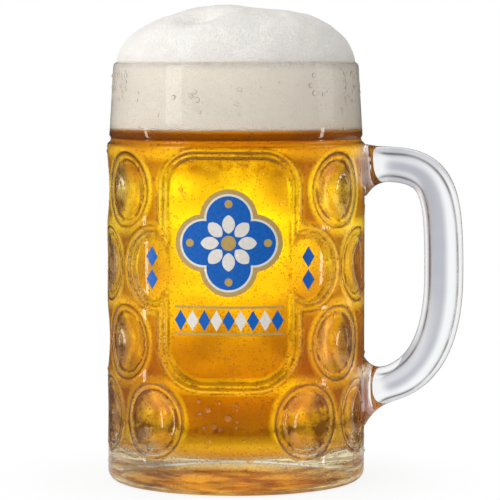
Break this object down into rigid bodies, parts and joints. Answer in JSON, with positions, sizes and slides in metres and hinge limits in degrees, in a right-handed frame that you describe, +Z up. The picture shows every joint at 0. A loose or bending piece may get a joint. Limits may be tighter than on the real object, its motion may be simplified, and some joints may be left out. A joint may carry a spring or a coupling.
{
  "type": "beer mug",
  "caption": "Dimpled pressed-glass beer mug with an applied glass handle, filled with lager under a domed foam head, with a rosette print in enamel on its front panel.",
  "frame": {"origin": "centre of the foot ring, on the surface that the mug stands on", "axes": "+Z up along the mug's axis, +X from the axis towards the handle, -Y out of the printed front panel"},
  "size_m": [0.1577, 0.114, 0.2106],
  "materials": {
    "glass": "clear, fire-polished",
    "beer": "clear golden lager with fine bubbles",
    "foam": "dense fine-pored froth",
    "enamel_blue": "fired enamel, glossy",
    "enamel_white": "fired enamel, glossy",
    "enamel_gold": "fired gold-coloured enamel, satin"
  },
  "bodies": {
    "root": {"glass_body": "glass", "handle": "glass", "beer": "beer", "foam_head": "foam", "print_blue": "enamel_blue", "print_white": "enamel_white", "print_gold": "enamel_gold"}
  },
  "joints": []
}
